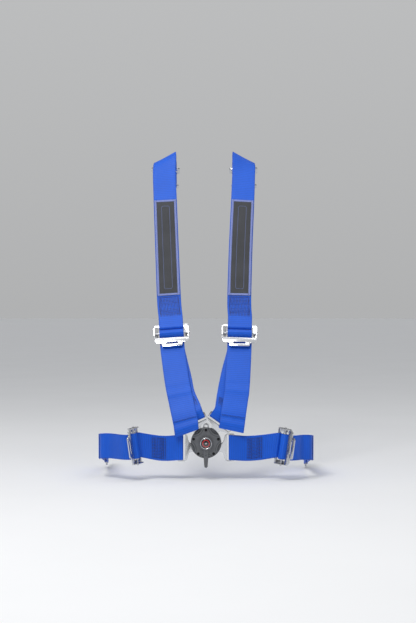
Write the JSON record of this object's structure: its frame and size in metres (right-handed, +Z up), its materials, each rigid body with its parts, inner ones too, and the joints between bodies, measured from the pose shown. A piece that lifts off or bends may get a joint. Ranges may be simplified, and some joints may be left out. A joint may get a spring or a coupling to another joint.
{
  "type": "racing harness",
  "caption": "Camlock racing harness with shoulder and lap belts, tilt-lock adjusters and a turn-lever buckle that lets the belts go together.",
  "frame": {"origin": "centre of the flat rear face of the buckle's back plate", "axes": "+Z up towards the shoulders, +Y from the buckle's face to the wearer and the rear anchors, +X towards the wearer's left"},
  "size_m": [0.4356, 0.56, 0.6847],
  "materials": {
    "badge_dome": "gloss",
    "bezel": "polished",
    "black_screw": "black oxide",
    "gunmetal_lever": "satin gunmetal",
    "gunmetal_shell": "satin gunmetal",
    "knurled_steel": "knurled",
    "label_panel": "flat woven label",
    "plated_steel": "bright plated",
    "spring_steel": "bare spring steel",
    "webbing": "woven polyester webbing"
  },
  "bodies": {
    "buckle": {"buckle_back_plate": "plated_steel", "buckle_housing": "gunmetal_shell", "face_screw_1": "black_screw", "face_screw_2": "black_screw", "face_screw_3": "black_screw", "face_screw_4": "black_screw", "face_screw_5": "black_screw", "spindle_post": "plated_steel", "spindle_screw": "black_screw", "fixed_tongue_pin": "plated_steel", "latch_spider": "spring_steel", "torsion_spring": "spring_steel", "lap_right_tongue": "plated_steel", "lap_right_short_strap": "webbing", "lap_right_run": "webbing", "lap_right_tail": "webbing", "lap_right_anchor": "plated_steel"},
    "lever": {"release_lever": "gunmetal_lever", "cam_disc": "plated_steel", "bezel_ring": "bezel", "badge_dome": "badge_dome"},
    "lap_left_belt": {"lap_left_tongue": "plated_steel", "lap_left_short_strap": "webbing", "lap_left_run": "webbing", "lap_left_tail": "webbing", "lap_left_anchor": "plated_steel"},
    "shoulder_left_belt": {"shoulder_left_upper_strap": "webbing", "shoulder_left_label": "label_panel", "shoulder_left_anchor": "plated_steel", "shoulder_left_slide": "plated_steel", "shoulder_left_run": "webbing", "shoulder_left_tongue": "plated_steel", "shoulder_left_tail": "webbing"},
    "shoulder_right_belt": {"shoulder_right_upper_strap": "webbing", "shoulder_right_label": "label_panel", "shoulder_right_anchor": "plated_steel", "shoulder_right_slide": "plated_steel", "shoulder_right_run": "webbing", "shoulder_right_tongue": "plated_steel", "shoulder_right_tail": "webbing"},
    "shoulder_left_adjuster": {"shoulder_left_adjuster_frame": "plated_steel", "shoulder_left_wrap": "webbing"},
    "shoulder_left_bar": {"shoulder_left_adjuster_bar": "knurled_steel"},
    "shoulder_right_adjuster": {"shoulder_right_adjuster_frame": "plated_steel", "shoulder_right_wrap": "webbing"},
    "shoulder_right_bar": {"shoulder_right_adjuster_bar": "knurled_steel"},
    "lap_left_adjuster": {"lap_left_adjuster_frame": "plated_steel", "lap_left_wrap": "webbing"},
    "lap_left_bar": {"lap_left_adjuster_bar": "knurled_steel"},
    "lap_right_adjuster": {"lap_right_adjuster_frame": "plated_steel", "lap_right_wrap": "webbing"},
    "lap_right_bar": {"lap_right_adjuster_bar": "knurled_steel"}
  },
  "joints": [
    {"name": "lever_turn", "type": "hinge", "parent": "buckle", "child": "lever", "pos_m": [0, 0, 0], "axis": [0, -1, 0], "range_deg": [0, 60], "stiffness_Nm_per_rad": 0.15, "deforming": ["latch_spider", "torsion_spring"]},
    {"name": "lap_left_release", "type": "slide", "parent": "buckle", "child": "lap_left_belt", "axis": [-1, 0, 0], "range_m": [0, 0.035], "deforming": ["latch_spider"]},
    {"name": "shoulder_left_release", "type": "slide", "parent": "buckle", "child": "shoulder_left_belt", "axis": [-0.4115, 0, 0.9114], "range_m": [0, 0.035], "deforming": ["latch_spider"]},
    {"name": "shoulder_right_release", "type": "slide", "parent": "buckle", "child": "shoulder_right_belt", "axis": [0.5736, 0, 0.8192], "range_m": [0, 0.035], "deforming": ["latch_spider"]},
    {"name": "shoulder_left_tilt", "type": "hinge", "parent": "shoulder_left_belt", "child": "shoulder_left_adjuster", "pos_m": [-0.0722, 0.0837, 0.232], "axis": [-0.9972, -0.0022, -0.0748], "range_deg": [0, 35], "deforming": ["shoulder_left_wrap"]},
    {"name": "shoulder_left_bar_slide", "type": "slide", "parent": "shoulder_left_adjuster", "child": "shoulder_left_bar", "axis": [-0.0698, 0.3898, 0.9183], "range_m": [0, 0.0015], "deforming": ["shoulder_left_wrap"]},
    {"name": "shoulder_right_tilt", "type": "hinge", "parent": "shoulder_right_belt", "child": "shoulder_right_adjuster", "pos_m": [0.0697, 0.0837, 0.232], "axis": [-0.9996, 0.0008, 0.0281], "range_deg": [0, 35], "deforming": ["shoulder_right_wrap"]},
    {"name": "shoulder_right_bar_slide", "type": "slide", "parent": "shoulder_right_adjuster", "child": "shoulder_right_bar", "axis": [0.0262, 0.3906, 0.9202], "range_m": [0, 0.0015], "deforming": ["shoulder_right_wrap"]},
    {"name": "lap_left_tilt", "type": "hinge", "parent": "lap_left_belt", "child": "lap_left_adjuster", "pos_m": [-0.135, -0.006, -0.004], "axis": [-0.1392, 0, 0.9903], "range_deg": [-40, 8], "deforming": ["lap_left_wrap"]},
    {"name": "lap_left_bar_slide", "type": "slide", "parent": "lap_left_adjuster", "child": "lap_left_bar", "axis": [0.4951, 0.866, 0.0696], "range_m": [0, 0.0015], "deforming": ["lap_left_wrap"]},
    {"name": "lap_right_tilt", "type": "hinge", "parent": "buckle", "child": "lap_right_adjuster", "pos_m": [0.143, -0.006, -0.005], "axis": [-0.1392, 0, -0.9903], "range_deg": [-30, 12], "deforming": ["lap_right_wrap"]},
    {"name": "lap_right_bar_slide", "type": "slide", "parent": "lap_right_adjuster", "child": "lap_right_bar", "axis": [-0.7359, 0.6691, 0.1034], "range_m": [0, 0.0015], "deforming": ["lap_right_wrap"]}
  ]
}
